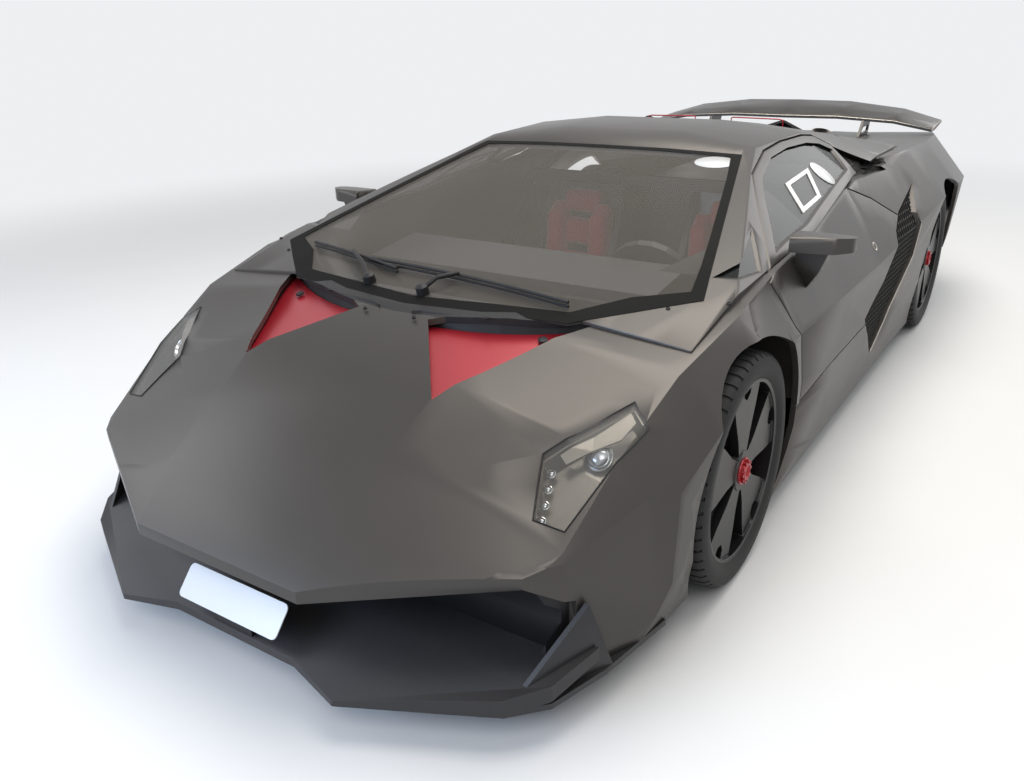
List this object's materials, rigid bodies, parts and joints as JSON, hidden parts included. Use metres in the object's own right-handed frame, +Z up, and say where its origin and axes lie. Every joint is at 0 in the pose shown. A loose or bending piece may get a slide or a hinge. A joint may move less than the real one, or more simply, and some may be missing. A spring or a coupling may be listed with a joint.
{
  "type": "supercar",
  "caption": "Low two-seat mid-engine track supercar in matte carbon, with a wedge nose, red hood scoops, side intakes, hinged doors and a full-width rear wing.",
  "frame": {"origin": "on the ground under the middle of the car's length and width", "axes": "+Z up, -Y towards the nose, +X towards the car's left side"},
  "size_m": [2.08, 4.58, 1.102],
  "materials": {
    "matte_carbon": "matte clear coat over carbon weave",
    "bare_carbon": "satin bare carbon",
    "black_plastic": "matte",
    "black_mesh": "matte",
    "engine_alloy": "cast",
    "exhaust_metal": "heat-tinted",
    "lamp_reflector": "satin",
    "clear_glass": "clear",
    "tinted_glass": "lightly tinted",
    "white_plate": "gloss",
    "suspension_alloy": "machined",
    "red_satin": "satin",
    "red_fabric": "woven",
    "red_lens": "gloss",
    "tyre_rubber": "matte",
    "black_wheel": "satin black carbon"
  },
  "bodies": {
    "chassis": {"carbon_tub": "bare_carbon", "cowl": "black_plastic", "dashboard": "bare_carbon", "diffuser": "bare_carbon", "engine": "engine_alloy", "engine_cover": "matte_carbon", "exhausts": "exhaust_metal", "front_clamshell": "matte_carbon", "front_posts": "matte_carbon", "headlamp_housings": "lamp_reflector", "headlamp_lenses": "clear_glass", "intake_meshes": "black_mesh", "nose_duct": "black_plastic", "number_plate": "white_plate", "quarter_glass": "tinted_glass", "rear_clamshell": "matte_carbon", "rear_fascia": "black_plastic", "rear_uprights": "suspension_alloy", "roof_frame": "matte_carbon", "scoop_liners": "red_satin", "seat_cushions": "red_fabric", "seat_shells": "bare_carbon", "side_skirts": "matte_carbon", "splitter": "bare_carbon", "suspension_arms": "suspension_alloy", "tail_lamps": "red_lens", "windscreen": "tinted_glass", "wing": "matte_carbon", "wing_stays": "matte_carbon"},
    "door_left": {"door_left": "matte_carbon", "door_glass_left": "tinted_glass", "mirror_left": "matte_carbon"},
    "knuckle_left": {"knuckle_left": "suspension_alloy"},
    "wheel_front_left": {"wheel_front_left": "black_wheel", "tyre_front_left": "tyre_rubber"},
    "wheel_rear_left": {"wheel_rear_left": "black_wheel", "tyre_rear_left": "tyre_rubber"},
    "door_right": {"door_right": "matte_carbon", "door_glass_right": "tinted_glass", "mirror_right": "matte_carbon"},
    "knuckle_right": {"knuckle_right": "suspension_alloy"},
    "wheel_front_right": {"wheel_front_right": "black_wheel", "tyre_front_right": "tyre_rubber"},
    "wheel_rear_right": {"wheel_rear_right": "black_wheel", "tyre_rear_right": "tyre_rubber"},
    "steering_wheel": {"steering_wheel": "black_plastic"}
  },
  "joints": [
    {"name": "door_left_hinge", "type": "hinge", "parent": "chassis", "child": "door_left", "pos_m": [0.968, -0.9, 0.55], "axis": [0, 0, -1], "range_deg": [0, 60]},
    {"name": "steer_left", "type": "hinge", "parent": "chassis", "child": "knuckle_left", "pos_m": [0.788, -1.2, 0.338], "axis": [0, 0, 1], "range_deg": [-30, 30]},
    {"name": "spin_front_left", "type": "hinge", "parent": "knuckle_left", "child": "wheel_front_left", "pos_m": [0.8255, -1.2, 0.338], "axis": [1, 0, 0], "continuous": true},
    {"name": "spin_rear_left", "type": "hinge", "parent": "chassis", "child": "wheel_rear_left", "pos_m": [0.8225, 1.36, 0.346], "axis": [1, 0, 0], "continuous": true},
    {"name": "door_right_hinge", "type": "hinge", "parent": "chassis", "child": "door_right", "pos_m": [-0.968, -0.9, 0.55], "axis": [0, 0, 1], "range_deg": [0, 60]},
    {"name": "steer_right", "type": "hinge", "parent": "chassis", "child": "knuckle_right", "pos_m": [-0.788, -1.2, 0.338], "axis": [0, 0, 1], "range_deg": [-30, 30]},
    {"name": "spin_front_right", "type": "hinge", "parent": "knuckle_right", "child": "wheel_front_right", "pos_m": [-0.8255, -1.2, 0.338], "axis": [1, 0, 0], "continuous": true},
    {"name": "spin_rear_right", "type": "hinge", "parent": "chassis", "child": "wheel_rear_right", "pos_m": [-0.8225, 1.36, 0.346], "axis": [1, 0, 0], "continuous": true},
    {"name": "steering_wheel_turn", "type": "hinge", "parent": "chassis", "child": "steering_wheel", "pos_m": [0.35, -0.56, 0.64], "axis": [0, 0.9063, 0.4226], "range_deg": [-390, 390]}
  ],
  "couplings": [
    {"joint": "steer_right", "follows": "steer_left", "ratio": 1},
    {"joint": "steering_wheel_turn", "follows": "steer_left", "ratio": -13}
  ]
}
